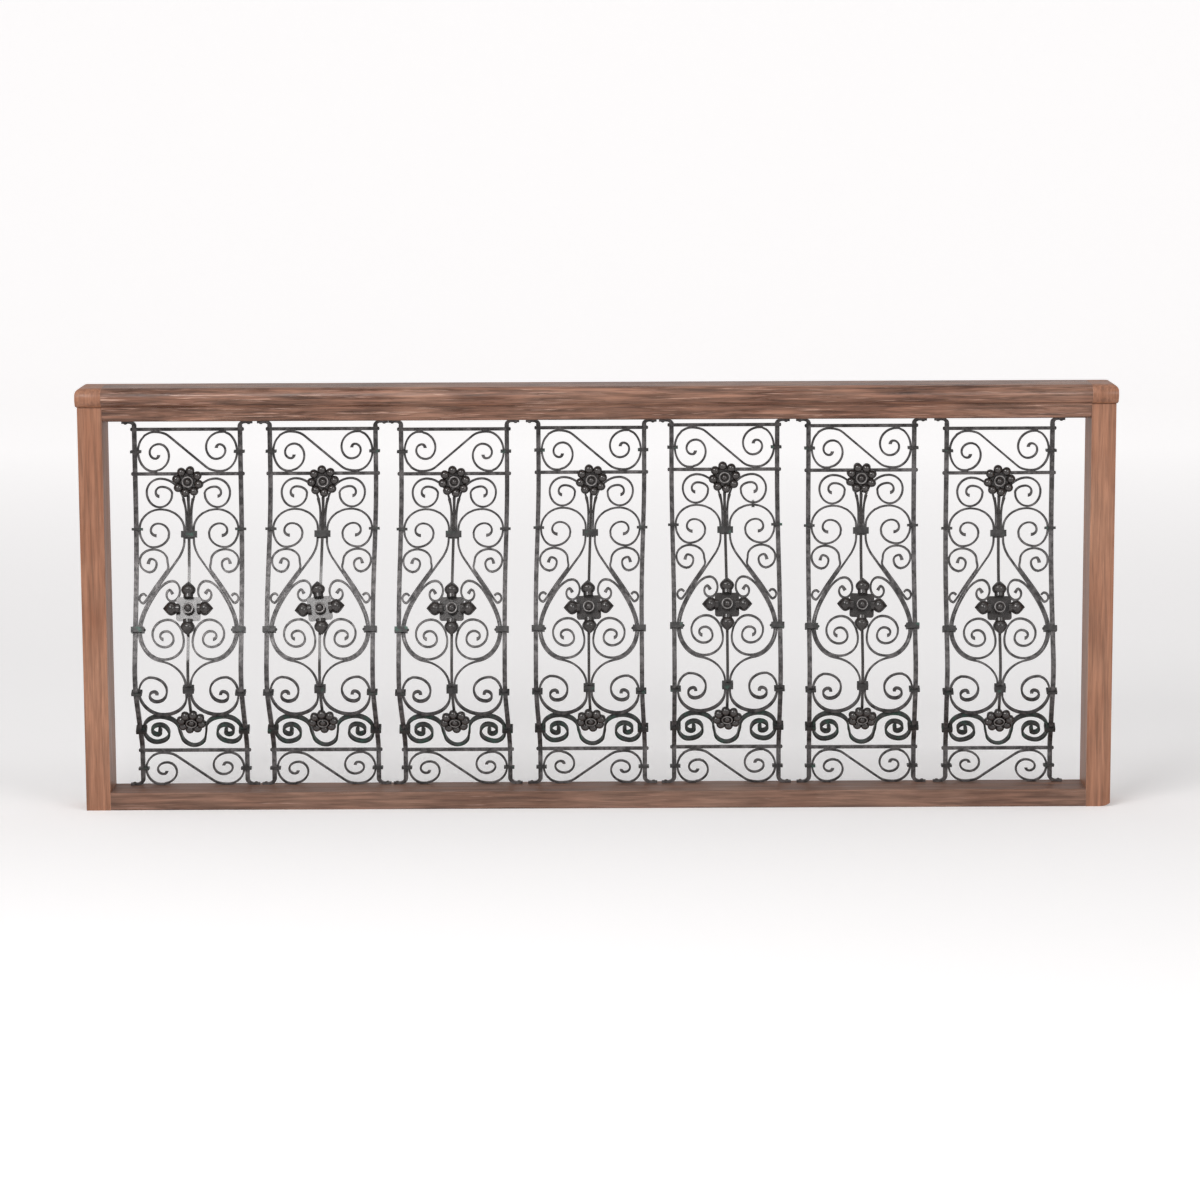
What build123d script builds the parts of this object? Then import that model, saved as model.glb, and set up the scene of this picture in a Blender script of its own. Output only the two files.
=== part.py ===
from build123d import *
import math
import os

# Framed iron panel: seven pot-bellied wrought-iron grilles standing side by side in a timber frame.
# Millimetres. X runs to the right along the frame, Y runs from the front to the back, Z is up.
# The origin is the middle of the frame's underside.

# Timber frame
frame_width = 2200.0
frame_height = 910.0
frame_depth = 105.0
stile_width = 52.0
bottom_rail_height = 38.0
top_rail_height = 70.0
head_lip_depth = 27.0       # strip along the back of the head's underside that the feet are nailed to
head_lip_drop = 9.0         # how far it stands below the front of the head
nose_height = 42.0          # half-round nosing along the front of the head
nose_reach = 15.0           # how far the nosing stands in front of the frame
nose_overhang = 3.0         # how far the nosing runs past the stiles at the ends
nose_end_round = 13.0       # rounding of the nosing's outer top corner
nose_end_ease = 4.0         # rounding of the nosing's outer bottom corner
fillet_height = 5.0         # flat fillet under the nosing
fascia_set_back = 1.6       # the plain face of the top rail behind its fillet
fascia_bevel = 6.0          # bevel along the lower front edge of the top rail
worn_edge = 2.0             # worn front edges of the bottom rail
worn_foot_width = 26.0      # the right stile's foot is worn away at its outer corner
worn_foot_height = 7.0
tenon_length = 26.0
tenon_thick = 24.0
top_tenon_height = 34.0
bottom_tenon_height = 20.0
joint_gap = 0.2             # rails and stiles at their shoulders
mortise_gap = 0.25          # round a tenon and past its end

# Grille bars
upright_half = 113.2        # from a grille's middle to the middle of an upright
upright_bar = 9.5           # square bar
crossbar_thick = 6.6
crossbar_deep = 9.0
strap_thick = 4.4           # flat bar of the scrolls
scroll_end_thick = 7.0      # the snubbed ends of the scrolls
strap_wide = 7.0
box_scroll_run = 50.0       # half the run of the S scrolls' slanting part
wave_thick = 4.6            # the heavier flat bar of the wave scroll
wave_wide = 11.0
rod_bar = 6.0               # centre rod
fit_gap = 0.2               # between iron parts that bear on each other
strap_gap = 0.35            # between straps lying side by side
stations_per_face = 12      # traced points along one face of a bent bar
grille_set_in = 18.0        # from the frame's back face to the middle of the uprights

# Side view of a grille: heights follow the bar, measured from the top of the bottom rail
foot_straight = 74.0        # upright part below the belly
belly_out = 100.0           # how far the belly stands forward
hollow_radius = 45.0        # bend where the belly leaves the foot
belly_under_angle = 36.0    # slope below the belly, from upright
belly_radius = 100.0
belly_over_angle = 20.0     # slope above the belly
shoulder_radius = 600.0     # long bend where the slope meets the straight top

# Heights along the bar, from the top of the bottom rail
crossbar_levels = (77.0, 724.0, 820.0)
upper_collar_level = 594.0
lower_collar_level = 256.0
lyre_collar_level = 605.0
heart_collar_level = 386.0
foot_collar_level = 247.5
wave_collar_level = 136.0
top_rosette_level = 708.0
cross_flower_level = 430.0
low_rosette_level = 168.0

# Feet of the uprights, bent outwards and nailed to the rails
foot_tip = 140.0            # from the grille's middle to the end of a foot
foot_thick = 5.0
foot_bend = 11.0
top_foot_bend = 7.0
screw_out = 132.0
screw_shank = 3.6
screw_hole_gap = 0.2
screw_head = 7.2
screw_head_thick = 2.2
screw_length = 22.0

# Rivets at the crossbar ends
rivet_shank = 4.6
rivet_hole_gap = 0.15
rivet_head = 8.0
rivet_head_thick = 1.6

# Collars
collar_wall = 4.0
collar_high = 5.5
heart_collar_high = 12.0
heart_collar_slack = 0.6    # the straps curve a little inside this tall collar
collar_gap = 0.25
centre_collar_high = 14.0
wave_collar_high = 9.0
wave_collar_wall = 4.0
collar_knob = 3.4

# Cast flowers
petal_count = 8
top_petal_radius = 9.0
top_petal_ring = 25.4
low_petal_radius = 8.8
low_petal_ring = 23.2
petal_lift = 3.0
flower_plate = 2.6
flower_eye = 7.0
flower_eye_ring = 11.5
flower_boss = 4.0
bud_radius = 15.5
bud_back = 15.0
bud_tip = 17.0
side_bud_out = 37.0         # from the flower's eye to the middle of a bud
end_bud_out = 42.0
bud_lift = 10.0
cross_plate = 52.0
cross_plate_corner = 6.0
cup_radius = 10.6
cup_length = 7.0
leaf_thick = 3.0

# Each grille's place and the small ways in which the hand-made grilles differ
grille_x = (-877.0, -587.0, -306.0, -12.0, 273.0, 566.5, 862.5)
grille_lift = (0.0, 0.0, -2.0, 0.0, 5.0, 2.0, -5.0)
grille_sway = (2.0, -7.0, -6.0, -7.0, 4.0, -1.0, -3.0)      # sideways lean at the belly
grille_foot_shift = (3.0, -2.0, 2.0, 0.0, 5.0, 4.0, 4.0)    # sideways shift of the feet
rosette_turn = (32, 5, 8, 12, 9, 19, 8)     # degrees
flower_turn = (0, 6, 0, 2, 0, -3, 0)
top_scroll_rises = (False, False, True, False, False, False, False)
low_scroll_rises = (False, False, False, True, False, False, True)
tied_grille = 5             # a twist of wire holds two of its scrolls together
tied_level = 649.8          # where the stem scroll rests on the lyre scroll
lyre_touch_level = 563.7    # where the lyre scroll rests on the side scroll
tie_wire = 1.4

# Worked out from the sizes above
half_width = frame_width / 2
half_depth = frame_depth / 2
front_y = -half_depth
back_y = half_depth
grille_y = back_y - grille_set_in
head_underside = frame_height - top_rail_height
rail_underside = head_underside - head_lip_drop
touch_u = upright_half - upright_bar / 2 - fit_gap - strap_thick / 2
strap_pitch = strap_thick + strap_gap
first_strap_u = rod_bar / 2 + fit_gap + strap_thick / 2
second_strap_u = first_strap_u + strap_pitch
under = math.radians(belly_under_angle)
over = math.radians(belly_over_angle)
under_bends = (hollow_radius + belly_radius) * (1 - math.cos(under))
over_bends = (belly_radius + shoulder_radius) * (1 - math.cos(over))
under_straight = (belly_out - under_bends) / math.sin(under)
over_straight = (belly_out - over_bends) / math.sin(over)
# Each stretch of the side view: its length, and how fast it turns forward
stretches = [
    (foot_straight, 0.0),
    (hollow_radius * under, 1 / hollow_radius),
    (under_straight, 0.0),
    (belly_radius * (under + over), -1 / belly_radius),
    (over_straight, 0.0),
    (shoulder_radius * over, 1 / shoulder_radius),
]


def side_view(v):
    """How far forward, how high and how steep the bar is after the length v from the bottom rail."""
    forward, height, lean = 0.0, bottom_rail_height, 0.0
    left = v
    for length, turn in stretches:
        step = min(left, length)
        if turn:
            new = lean + turn * step
            forward += (math.cos(lean) - math.cos(new)) / turn
            height += (math.sin(new) - math.sin(lean)) / turn
            lean = new
        else:
            forward += step * math.sin(lean)
            height += step * math.cos(lean)
        left -= step
        if left <= 0:
            return forward, height, lean
    return forward, height + left, lean


curved_length = sum(length for length, turn in stretches)
bar_length = curved_length + rail_underside - side_view(curved_length)[1]


def ease(x):
    """Rises smoothly from 0 to 1."""
    x = min(1.0, max(0.0, x))
    return x * x * (3 - 2 * x)


def sway(k, v):
    """Sideways shift of grille k at the height v."""
    belly = grille_sway[k] * ease((v - 60) / 220) * ease((bar_length - 110 - v) / 300)
    return belly + grille_foot_shift[k] * (1 - ease((v - 60) / 220))


def lift(k, v):
    """Small rise of grille k's pattern, none at its feet."""
    return grille_lift[k] * ease((v - 4) / 140) * ease((bar_length - 5.4 - v) / 8.6)


def place(k, u, v, w=0.0):
    """The point of grille k at u from its middle, v up the bar, and w in front of it."""
    forward, height, lean = side_view(v + lift(k, v))
    y = grille_y - forward - w * math.cos(lean)
    z = height - w * math.sin(lean)
    return Vector(grille_x[k] + u + sway(k, v), y, z)


def surface(k, u, v, w=0.0):
    """A plane on grille k's face: X to the right, Y up the bar, Z out to the front."""
    lean = side_view(v + lift(k, v))[2]
    return Plane(origin=place(k, u, v, w), x_dir=(1, 0, 0), z_dir=(0, -math.cos(lean), -math.sin(lean)))


def handles(a, b):
    """Lengths of the two tangents that carry a smooth bend from station a to station b."""
    du, dv = b[0] - a[0], b[1] - a[1]
    chord = math.hypot(du, dv)
    turn = (b[2] - a[2] + 180) % 360 - 180
    ha, hb = math.radians(a[2]), math.radians(b[2])
    if abs(turn) > 2:
        cross = math.sin(hb - ha)
        from_a = (du * math.sin(hb) - dv * math.cos(hb)) / cross
        to_b = (dv * math.cos(ha) - du * math.sin(ha)) / cross
        if from_a > 0 and to_b > 0:
            full = math.radians(abs(turn))
            share = 4 / 3 * math.tan(full / 4) / math.tan(full / 2)
            return share * from_a, share * to_b, turn
    return 0.36 * chord, 0.36 * chord, turn


def trace(stations):
    """Points with their headings and thicknesses along a bar bent through the stations.

    A station is (u, v, heading in degrees), with the bar's thickness as a fourth value where it changes."""
    line = []
    for a, b in zip(stations, stations[1:]):
        reach_a, reach_b, turn = handles(a, b)
        ha, hb = math.radians(a[2]), math.radians(b[2])
        p = [
            (a[0], a[1]),
            (a[0] + reach_a * math.cos(ha), a[1] + reach_a * math.sin(ha)),
            (b[0] - reach_b * math.cos(hb), b[1] - reach_b * math.sin(hb)),
            (b[0], b[1]),
        ]
        length = math.dist(p[0], p[3])
        steps = max(2, math.ceil(abs(turn) / 13), math.ceil(length / 9))
        thick_a = a[3] if len(a) > 3 else None
        thick_b = b[3] if len(b) > 3 else thick_a
        for i in range(steps + (b is stations[-1])):
            t = i / steps
            s = 1 - t
            u, v = (
                s**3 * p[0][j] + 3 * s * s * t * p[1][j] + 3 * s * t * t * p[2][j] + t**3 * p[3][j]
                for j in (0, 1)
            )
            du, dv = (
                s * s * (p[1][j] - p[0][j]) + 2 * s * t * (p[2][j] - p[1][j]) + t * t * (p[3][j] - p[2][j])
                for j in (0, 1)
            )
            thick = None if thick_a is None else thick_a + (thick_b - thick_a) * t
            line.append((u, v, math.atan2(dv, du), thick))
    return line


def beside(line, inside):
    """The same line moved to its right, for a strap that lies against another."""
    return [(u + inside * math.sin(h), v - inside * math.cos(h), h, thick) for u, v, h, thick in line]


def between(line, high, low):
    """The stretch of a falling line between two heights."""
    return [point for point in line if low <= point[1] <= high]


def joined(before, stretch, after):
    """One line: stations that lead to a traced stretch, the stretch, and stations that lead away from it."""
    first, last = stretch[0], stretch[-1]
    lead_in = trace(before + [(first[0], first[1], math.degrees(first[2]))])
    lead_out = trace([(last[0], last[1], math.degrees(last[2]))] + after)
    return lead_in[:-1] + stretch + lead_out[1:]


def bar(k, line, thick, wide, side=1, out=0.0):
    """A flat bar of grille k, bent along a traced line and lying on the belly's surface.

    side is -1 for the left half, and out is how far its middle stands in front of the grille's."""
    spine = [place(k, side * u, v, out) for u, v, heading, own in line]
    rims, ways = [], []
    for s, w in ((-1, -1), (1, -1), (1, 1), (-1, 1)):
        rim, way = [], []
        for u, v, heading, own in line:
            half = (own or thick) / 2
            run_u, run_v = math.cos(heading), math.sin(heading)
            rim_u, rim_v = u - s * half * run_v, v + s * half * run_u
            level = out + w * wide / 2
            rim.append(place(k, side * rim_u, rim_v, level))
            ahead = place(k, side * (rim_u + run_u), rim_v + run_v, level)
            way.append(ahead - place(k, side * (rim_u - run_u), rim_v - run_v, level))
        rims.append(rim)
        ways.append(way)
    # The four long sides are made in lengths, end to end, which keeps their volume and their meshes exact
    last = len(line) - 1
    lengths = math.ceil(last / stations_per_face)
    cuts = [round(i * last / lengths) for i in range(lengths + 1)]
    faces = []
    for a, b in zip(cuts, cuts[1:]):
        along = [0.0]
        for i in range(a, b):
            along.append(along[-1] + (spine[i + 1] - spine[i]).length)
        steps = [d / along[-1] for d in along]
        edges = [
            Edge.make_spline(rim[a:b + 1], tangents=[way[a], way[b]], parameters=steps)
            for rim, way in zip(rims, ways)
        ]
        faces += [Face.make_surface_from_curves(edges[i], edges[(i + 1) % 4]) for i in range(4)]
    for end in (0, -1):
        near = Edge.make_line(rims[0][end], rims[1][end])
        far = Edge.make_line(rims[3][end], rims[2][end])
        faces.append(Face.make_surface_from_curves(near, far))
    solid = Solid(Shell(faces))
    return solid if solid.volume > 0 else Solid(solid.wrapped.Reversed())


def group(solids):
    """Separate solids kept together as one sub-part."""
    return Compound(children=list(solids))


# The bars of a grille


def upright(k, side):
    top = bar_length
    foot_mid = fit_gap + foot_thick / 2
    path = [
        (foot_tip, foot_mid, 180, foot_thick),
        (upright_half + foot_bend + 2, foot_mid, 180, foot_thick),
        (upright_half, foot_mid + foot_bend, 90, upright_bar),
        (upright_half, foot_mid + foot_bend + 4, 90, upright_bar),
        (upright_half, top - foot_mid - top_foot_bend - 4, 90, upright_bar),
        (upright_half, top - foot_mid - top_foot_bend, 90, upright_bar),
        (upright_half + top_foot_bend + 2, top - foot_mid, 0, foot_thick),
        (foot_tip, top - foot_mid, 0, foot_thick),
    ]
    piece = bar(k, trace(path), upright_bar, upright_bar, side)
    for level in crossbar_levels:
        hole = Cylinder(rivet_shank / 2 + rivet_hole_gap, 3 * upright_bar, rotation=(0, 90, 0))
        piece = piece - hole.moved(Location(place(k, side * upright_half, level)))
    for level in (0.0, bar_length):
        hole = Cylinder(screw_shank / 2 + screw_hole_gap, 6 * foot_thick)
        piece = piece - hole.moved(Location(place(k, side * screw_out, level)))
    return piece


def crossbar(k, level):
    inner = upright_half - upright_bar / 2 - fit_gap
    outer = upright_half + upright_bar / 2 + fit_gap
    piece = Box(2 * inner, crossbar_deep, crossbar_thick)
    for side in (-1, 1):
        shank_mid = side * (inner - 1 + outer + 1) / 2
        piece += Cylinder(rivet_shank / 2, outer - inner + 2, rotation=(0, 90, 0)).moved(Location((shank_mid, 0, 0)))
        head = Cylinder(rivet_head / 2, rivet_head_thick, rotation=(0, 90, 0))
        piece += head.moved(Location((side * (outer + rivet_head_thick / 2), 0, 0)))
    return piece.moved(Location(place(k, 0, level)))


def bars(k):
    return group([upright(k, -1), upright(k, 1)] + [crossbar(k, level) for level in crossbar_levels])


# The scrolls of a grille, each drawn for the right half


def box_scroll(k, low, high, rises):
    """The S between two bars: it runs down to the right, or up to the right where it rises."""
    middle = (low + high) / 2
    rest = (high - low) / 2 - fit_gap - strap_thick / 2
    slope = math.degrees(math.atan2(rest, box_scroll_run))
    half = [
        (0.0, 0.0, -slope),
        (0.8 * rest / math.tan(math.radians(slope)), -0.8 * rest, -slope),
        (70.0, -rest, 0),
        (touch_u, 0.0, 90),
        (75.0, rest, 180),
        (40.0, 0.22 * rest, 270),
        (61.0, -0.38 * rest, 0),
        (81.0, 0.05 * rest, 90),
        (69.0, 0.36 * rest, 180, strap_thick),
        (62.0, 0.18 * rest, 270, scroll_end_thick),
    ]
    flip = -1 if rises else 1
    right = [(u, middle + flip * v, flip * h, *thick) for u, v, h, *thick in half]
    left = [(-u, 2 * middle - v, h, *thick) for u, v, h, *thick in reversed(right[1:])]
    return bar(k, trace(left + right), strap_thick, strap_wide)


def stem_scroll(k, side):
    """From the upper collar up beside the rod and out into a scroll under the second crossbar."""
    path = [
        (first_strap_u, upper_collar_level - 10, 90),
        (first_strap_u, upper_collar_level + 36, 90),
        (12.0, 675.0, 73),
        (59.0, 713.5, 0),
        (89.3, 684.0, 270),
        (62.0, tied_level + strap_pitch / 2, 180),
        (35.0, 681.0, 90),
        (57.0, 696.0, 0),
        (70.0, 684.0, 270, strap_thick),
        (62.5, 675.5, 180, scroll_end_thick),
    ]
    return bar(k, trace(path), strap_thick, strap_wide, side)


# The heart's side, from its waist at the top to its foot
heart_flank = [(24.0, 541.0, 305), (66.0, 481.0, 305), (touch_u, 384.0, 270), (57.0, 317.5, 190)]


def lyre_scroll(k, side):
    """From the scroll over the upper collar, down round the heart, to the scroll under the lower collar."""
    upper = [
        (70.0, 591.0, 0, scroll_end_thick),
        (82.0, 602.0, 90, strap_thick),
        (66.0, 617.0, 180),
        (43.0, 595.0, 270),
        (77.0, lyre_touch_level + strap_pitch / 2, 0),
        (touch_u, lyre_collar_level, 90),
        (60.4, tied_level - strap_pitch / 2, 180),
        (second_strap_u, upper_collar_level + 11, 270),
        (second_strap_u, upper_collar_level - 13, 270),
    ]
    lower = [
        (first_strap_u, lower_collar_level + 9, 270),
        (first_strap_u, lower_collar_level - 15, 270),
        (59.0, 182.0, 0),
        (touch_u, foot_collar_level, 90),
        (80.0, 283.0, 180),
        (46.4, 254.0, 270),
        (70.0, 222.5, 0),
        (84.0, 238.5, 90),
        (73.5, 250.0, 180, strap_thick),
        (68.0, 243.0, 270, scroll_end_thick),
    ]
    return bar(k, trace(upper + heart_flank + lower), strap_thick, strap_wide, side)


def side_scroll(k, side):
    """From a scroll under the lyre's, down the outside of the heart, to a small ring against the upright."""
    flank = between(beside(trace(heart_flank), -strap_pitch), 517.0, 458.0)
    eye = [
        (88.0, 530.0, 100, scroll_end_thick),
        (82.0, 541.0, 180, strap_thick),
        (70.0, 530.5, 270),
        (84.5, 512.5, 0),
        (touch_u, 537.0, 90),
        (77.0, lyre_touch_level - strap_pitch / 2, 180),
        (46.8, 537.0, 270),
    ]
    ring = [
        (97.0, 444.5, 0),
        (touch_u - fit_gap, 454.5, 90),
        (97.0, 464.5, 180),
        (91.2, 460.0, 235),
    ]
    return bar(k, joined(eye, flank, ring), strap_thick, strap_wide, side)


def heart_scroll(k, side):
    """From a small curl inside the heart's top, down its inside, round its foot and into a large scroll."""
    flank = between(beside(trace(heart_flank), strap_pitch), 476.0, 324.0)
    curl = [
        (35.0, 464.5, 60, scroll_end_thick),
        (40.5, 473.0, 0, strap_thick),
        (48.0, 462.5, 270),
        (35.5, 448.5, 180),
        (19.5, 470.5, 90),
        (36.0, 492.5, 0),
    ]
    scroll = [
        (9.5, 359.0, 90),
        (44.0, 408.0, 0),
        (76.5, 377.0, 270),
        (50.0, 348.5, 180),
        (31.5, 364.5, 90),
        (47.0, 383.0, 0),
        (60.0, 373.0, 270, strap_thick),
        (53.0, 365.5, 180, scroll_end_thick),
    ]
    return bar(k, joined(curl, flank, scroll), strap_thick, strap_wide, side)


def wave_scroll(k):
    """The broad bar across the foot of the belly: scroll, hump, dip, hump, scroll."""
    touch = upright_half - upright_bar / 2 - fit_gap - wave_thick / 2
    right = [
        (0.0, 88.5, 0),
        (25.5, 114.0, 84),
        (29.5, 142.0, 90),
        (69.0, 176.8, 0),
        (touch, wave_collar_level, 270),
        (82.0, 97.5, 180),
        (52.0, 125.0, 90),
        (70.0, 151.0, 0),
        (88.0, 134.0, 270),
        (77.0, 121.0, 180),
        (69.0, 130.0, 90, wave_thick),
        (75.0, 136.5, 10, scroll_end_thick),
    ]
    left = [(-u, v, -h, *thick) for u, v, h, *thick in right[1:]]
    return bar(k, trace(list(reversed(left)) + right), wave_thick, wave_wide)


def rod(k):
    path = [(0.0, low_rosette_level - 6, 90), (0.0, top_rosette_level + 6, 90)]
    return bar(k, trace(path), rod_bar, rod_bar)


# Collars


def collar(k, u_low, u_high, level, high, wall, deep):
    """A square ring round what lies between two places across the grille."""
    gap = collar_gap
    lean_gap = gap + abs(sway(k, level + high / 2) - sway(k, level - high / 2)) / 2
    hole = Box(u_high - u_low + 2 * lean_gap, high * 3, deep + 2 * gap)
    ring = Box(u_high - u_low + 2 * lean_gap + 2 * wall, high, deep + 2 * gap + 2 * wall) - hole
    return surface(k, (u_low + u_high) / 2, level) * ring


def side_collar(k, side, level, inner_u, high=collar_high, wall=collar_wall, deep=upright_bar):
    outer_u = upright_half + upright_bar / 2
    low, top = sorted((side * inner_u, side * outer_u))
    return collar(k, low, top, level, high, wall, deep)


def collars(k):
    strap_in = touch_u - strap_thick / 2
    top_box = (crossbar_levels[1] + crossbar_levels[2]) / 2
    low_box = (crossbar_levels[0] - crossbar_thick / 2) / 2
    made = []
    for side in (-1, 1):
        made.append(side_collar(k, side, top_box, strap_in))
        made.append(side_collar(k, side, lyre_collar_level, strap_in))
        heart_in = strap_in - strap_pitch - heart_collar_slack
        knobbed = side_collar(k, side, heart_collar_level, heart_in, heart_collar_high)
        knob_u = side * (heart_in - collar_gap - collar_wall)
        made.append(knobbed + surface(k, knob_u, heart_collar_level) * Sphere(collar_knob))
        made.append(side_collar(k, side, foot_collar_level, strap_in))
        wave_in = upright_half - upright_bar / 2 - fit_gap - wave_thick
        made.append(side_collar(k, side, wave_collar_level, wave_in, wave_collar_high, wave_collar_wall, wave_wide))
        made.append(side_collar(k, side, low_box, strap_in))
    for level, strap_u in ((upper_collar_level, second_strap_u), (lower_collar_level, first_strap_u)):
        reach = strap_u + strap_thick / 2
        made.append(collar(k, -reach, reach, level, centre_collar_high, collar_wall, strap_wide))
    return group(made)


# Cast flowers and leaves


def rosette(k, level, petal, ring, out):
    """Eight domed petals round an eye with a rim, on a thin plate, with a boss that seats on the rod."""
    body = Cylinder(ring - 1, flower_plate, align=(Align.CENTER, Align.CENTER, Align.MIN))
    for i in range(petal_count):
        body += Pos(*polar(ring, rosette_turn[k] + i * 360 / petal_count), petal_lift) * Sphere(petal)
    body += Cylinder(flower_eye_ring, petal_lift + 6, align=(Align.CENTER, Align.CENTER, Align.MIN))
    body -= Pos(0, 0, petal_lift + 4.2) * Cylinder(
        flower_eye_ring - 1.8, 8, align=(Align.CENTER, Align.CENTER, Align.MIN)
    )
    body += Pos(0, 0, petal_lift + 4) * Sphere(flower_eye)
    body -= Pos(0, 0, -50) * Box(200, 200, 100)
    boss_back = rod_bar / 2 + fit_gap
    body += Cylinder(flower_boss, out - boss_back + 1, align=(Align.CENTER, Align.CENTER, Align.MAX)).moved(
        Location((0, 0, 1))
    )
    return surface(k, 0, level, out) * body


def polar(radius, degrees):
    a = math.radians(degrees)
    return radius * math.cos(a), radius * math.sin(a)


def bud(out):
    """A pointed bud along X, cut flat at its back, with the cup that holds it."""
    outline = Spline(
        (-bud_back, 0), (-bud_back * 0.62, bud_radius * 0.8), (0, bud_radius), (bud_tip * 0.5, bud_radius * 0.66),
        (bud_tip, 0),
    )
    face = make_face([outline, Line((bud_tip, 0), (-bud_back, 0))])
    body = revolve(face, Axis.X, 360)
    cup = Cylinder(cup_radius, cup_length, rotation=(0, 90, 0)).moved(Location((-bud_back + 0.5, 0, 0)))
    return Pos(out, 0, bud_lift) * (body + cup)


def cross_flower(k):
    """Four pointed buds round a domed eye, on a square plate, with a boss that seats on the rod."""
    out = strap_wide / 2 + fit_gap
    plate = extrude(RectangleRounded(cross_plate, cross_plate, cross_plate_corner), flower_plate)
    body = plate
    for i in range(4):
        body += Rot(0, 0, 90 * i) * bud(end_bud_out if i % 2 else side_bud_out)
    body += Cylinder(flower_eye_ring, bud_lift + 6, align=(Align.CENTER, Align.CENTER, Align.MIN))
    body += Pos(0, 0, bud_lift + 6) * Sphere(flower_eye + 1.5)
    body -= Pos(0, 0, -50) * Box(200, 200, 100)
    boss_back = rod_bar / 2 + fit_gap
    body += Cylinder(flower_boss, out - boss_back + 1, align=(Align.CENTER, Align.CENTER, Align.MAX)).moved(
        Location((0, 0, 1))
    )
    return surface(k, 0, cross_flower_level, out) * Rot(0, 0, flower_turn[k]) * body


def leaves(k):
    """Three narrow leaves that gather under the top rosette."""
    top = top_rosette_level - top_petal_ring - top_petal_radius - 0.6
    over_rod = rod_bar / 2 + fit_gap + leaf_thick / 2
    out = strap_wide / 2 + fit_gap + leaf_thick / 2
    middle = bar(k, trace([(0.0, top, 270, 7.0), (0.0, top - 40, 270, 3.0)]), 5.0, leaf_thick, 1, over_rod)
    outer = trace([(10.5, top - 2, 256, 7.0), (3.8, top - 38, 263, 2.4)])
    return [middle] + [bar(k, outer, 5.0, leaf_thick, side, out) for side in (-1, 1)]


def flowers(k):
    over_crossbar = crossbar_deep / 2 + fit_gap
    over_straps = strap_wide / 2 + fit_gap
    pieces = [
        rod(k),
        rosette(k, top_rosette_level, top_petal_radius, top_petal_ring, over_crossbar),
        cross_flower(k),
        rosette(k, low_rosette_level, low_petal_radius, low_petal_ring, over_straps),
    ]
    return group(pieces + leaves(k))


# Screws and the twist of wire


def foot_screw(k, side, at_top):
    """A domed screw through a foot into the rail."""
    seat = 2 * fit_gap + foot_thick
    shank = Cylinder(screw_shank / 2, screw_length, align=(Align.CENTER, Align.CENTER, Align.MAX))
    head = Cylinder(screw_head / 2, screw_head_thick, align=(Align.CENTER, Align.CENTER, Align.MIN))
    piece = chamfer(head.edges().group_by(Axis.Z)[-1], 0.9) + shank
    if at_top:
        return (Location(place(k, side * screw_out, bar_length)) * Rot(180, 0, 0) * Pos(0, 0, seat)) * piece
    return (Location(place(k, side * screw_out, 0)) * Pos(0, 0, seat)) * piece


def screw_places():
    return [(k, side) for k in range(len(grille_x)) for side in (-1, 1)]


def wire_tie(k):
    """A loop of wire round the stem scroll's foot and the lyre scroll's top."""
    high = 2 * strap_pitch + 2 * collar_gap
    inner = Box(tie_wire * 3, high, strap_wide + 2 * collar_gap)
    outer = Box(tie_wire, high + 2 * tie_wire, strap_wide + 2 * collar_gap + 2 * tie_wire)
    return surface(k, 61.0, tied_level) * (outer - inner)


# Timber frame


def screw_holes(rail_top, rail_bottom):
    """Blind holes in the rails for the foot screws."""
    holes = []
    for k, side in screw_places():
        if rail_top:
            holes.append(Location(place(k, side * screw_out, bar_length)))
        else:
            holes.append(Location(place(k, side * screw_out, 0)))
    deep = 2 * (screw_length + 1)
    return [spot * Cylinder(screw_shank / 2 + screw_hole_gap, deep) for spot in holes]


def head_profile(low):
    """The section of the head from the height low up: nosing, fillet, plain face, bevel."""
    radius = nose_height / 2
    nose_mid_y = front_y - nose_reach + radius
    nose_mid_z = frame_height - radius
    drop = math.sqrt(radius**2 - (nose_mid_y - front_y) ** 2)
    under_nose = nose_mid_z - drop
    start = (front_y, under_nose)
    face_y = front_y + fascia_set_back
    points = [
        start,
        (front_y, under_nose - fillet_height),
        (face_y, under_nose - fillet_height),
        (face_y, low + fascia_bevel),
        (face_y + fascia_bevel / 2, low),
        (back_y - head_lip_depth, low),
        (back_y - head_lip_depth, low - head_lip_drop),
        (back_y, low - head_lip_drop),
        (back_y, frame_height),
        (nose_mid_y, frame_height),
    ]
    lines = Polyline(*points)
    arc = ThreePointArc(points[-1], (nose_mid_y - radius, nose_mid_z), start)
    return Plane.YZ * make_face([lines, arc])


def tenon(x_side, low, high):
    box = Box(tenon_length + joint_gap, tenon_thick, high - low)
    x = x_side * (half_width - stile_width + (tenon_length - joint_gap) / 2)
    return Pos(x, 0, (low + high) / 2) * box


def mortise(x_side, low, high):
    g = mortise_gap
    box = Box(tenon_length + g + 1, tenon_thick + 2 * g, high - low + 2 * g)
    x = x_side * (half_width - stile_width + (tenon_length + g - 1) / 2)
    return Pos(x, 0, (low + high) / 2) * box


def tenon_heights():
    top_mid = head_underside + (top_rail_height - nose_height) / 2 + 8
    low_mid = bottom_rail_height / 2
    return (
        (top_mid - top_tenon_height / 2, top_mid + top_tenon_height / 2),
        (low_mid - bottom_tenon_height / 2, low_mid + bottom_tenon_height / 2),
    )


def top_rail():
    length = frame_width - 2 * stile_width - 2 * joint_gap
    piece = extrude(head_profile(head_underside), length / 2, both=True)
    for side in (-1, 1):
        piece += tenon(side, *tenon_heights()[0])
    for hole in screw_holes(True, False):
        piece -= hole
    return piece


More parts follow.
